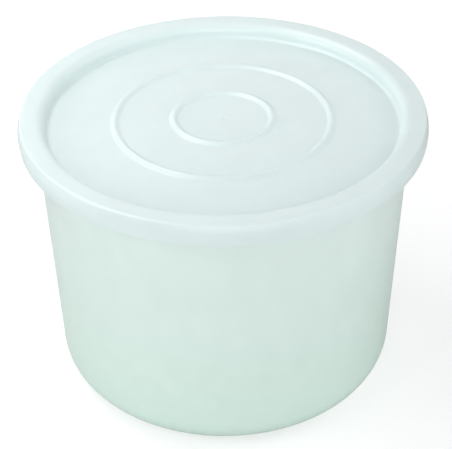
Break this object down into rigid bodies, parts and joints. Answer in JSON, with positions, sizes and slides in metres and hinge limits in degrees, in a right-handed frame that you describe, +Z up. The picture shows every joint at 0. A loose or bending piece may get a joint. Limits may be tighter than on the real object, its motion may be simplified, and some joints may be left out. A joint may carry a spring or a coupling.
{
  "type": "storage tub",
  "caption": "Round flat-bottomed polyethylene storage tub with a press-on lid whose sunk panel carries raised ring beads.",
  "frame": {"origin": "centre of the plane that the tub rests on", "axes": "+Z up along the axis of revolution; the tub is round, so X and Y are free"},
  "size_m": [0.24, 0.24, 0.1745],
  "materials": {
    "tub_polyethylene": "satin natural polyethylene, milky with a faint green cast, slightly translucent",
    "lid_polyethylene": "satin natural polyethylene, milky with a faint blue-green cast, slightly glossy crown"
  },
  "bodies": {
    "tub": {"tub": "tub_polyethylene"},
    "lid": {"lid": "lid_polyethylene"}
  },
  "joints": [
    {"name": "lid_lift", "type": "slide", "parent": "tub", "child": "lid", "axis": [0, 0, 1], "range_m": [0, 0.2]}
  ]
}
